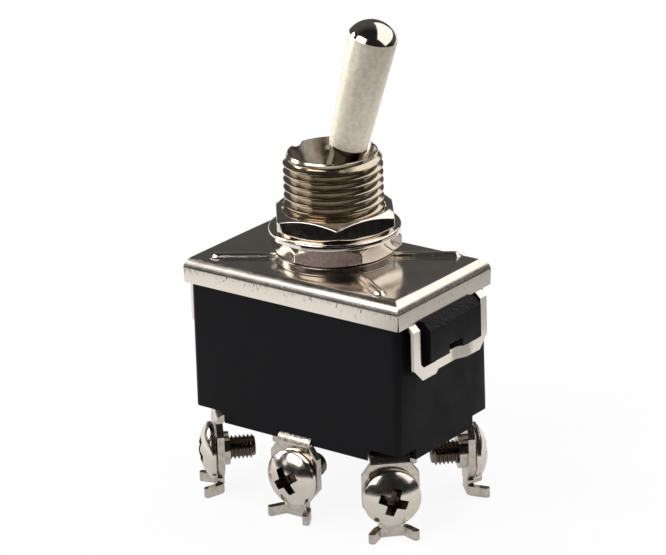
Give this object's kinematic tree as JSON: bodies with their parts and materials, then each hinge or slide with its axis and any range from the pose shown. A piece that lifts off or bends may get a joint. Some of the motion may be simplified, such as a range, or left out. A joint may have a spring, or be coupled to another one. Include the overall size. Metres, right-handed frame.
{
  "type": "panel toggle switch",
  "caption": "Bat-lever toggle switch with threaded panel bushing, folded metal cap latched over a black moulded base, and screw terminals with wire forks below.",
  "frame": {"origin": "on the axis of the threaded bushing, at the upper face of the top nut where the free thread starts", "axes": "+Z along the bushing, out of the panel; X is the long side of the base and the way the lever tips; -Y is the front long side"},
  "size_m": [0.0348, 0.0234, 0.0609],
  "materials": {
    "phenolic": "matte black moulded phenolic",
    "cap_nickel": "bright nickel-plated folded steel sheet",
    "fibre": "red-brown vulcanised fibre sheet",
    "bushing_nickel": "nickel-plated turned and threaded brass",
    "nut_nickel": "bright nickel-plated steel",
    "lever_nickel": "satin nickel-plated brass with a bright domed end",
    "nylon": "natural nylon",
    "spring_steel": "drawn spring wire",
    "brass": "turned brass",
    "copper_alloy": "rolled copper alloy strip",
    "silver": "silver-faced contact rivet",
    "terminal_nickel": "satin nickel-plated stamped brass",
    "screw_nickel": "bright nickel-plated steel screw"
  },
  "bodies": {
    "housing": {"base": "phenolic", "cap": "cap_nickel", "liner": "fibre", "bushing": "bushing_nickel", "lower_nut": "nut_nickel", "flat_washer": "nut_nickel", "upper_nut": "nut_nickel", "fulcrum_front": "brass", "fulcrum_back": "brass", "contact_front_left": "silver", "contact_front_right": "silver", "contact_back_right": "silver", "contact_back_left": "silver", "terminal_front_left": "terminal_nickel", "terminal_front_middle": "terminal_nickel", "terminal_front_right": "terminal_nickel", "terminal_back_right": "terminal_nickel", "terminal_back_middle": "terminal_nickel", "terminal_back_left": "terminal_nickel", "screw_front_left": "screw_nickel", "screw_front_middle": "screw_nickel", "screw_front_right": "screw_nickel", "screw_back_right": "screw_nickel", "screw_back_middle": "screw_nickel", "screw_back_left": "screw_nickel"},
    "lever": {"lever": "lever_nickel", "actuator": "nylon", "spring_front": "spring_steel", "plunger_front": "brass", "spring_back": "spring_steel", "plunger_back": "brass"},
    "rocker_front": {"rocker_front": "copper_alloy", "rocker_tips_front": "silver"},
    "rocker_back": {"rocker_back": "copper_alloy", "rocker_tips_back": "silver"}
  },
  "joints": [
    {"name": "lever_tilt", "type": "hinge", "parent": "housing", "child": "lever", "pos_m": [0, 0, -0.0001], "axis": [0, 1, 0], "range_deg": [-33.2, 0]},
    {"name": "rocker_front_tilt", "type": "hinge", "parent": "housing", "child": "rocker_front", "pos_m": [0, -0.0042, -0.0225], "axis": [0, 1, 0], "range_deg": [0, 12.1]},
    {"name": "rocker_back_tilt", "type": "hinge", "parent": "housing", "child": "rocker_back", "pos_m": [0, 0.0042, -0.0225], "axis": [0, 1, 0], "range_deg": [0, 12.1]}
  ],
  "couplings": [
    {"joint": "rocker_front_tilt", "follows": "lever_tilt", "ratio": -0.36145},
    {"joint": "rocker_back_tilt", "follows": "lever_tilt", "ratio": -0.36145}
  ]
}
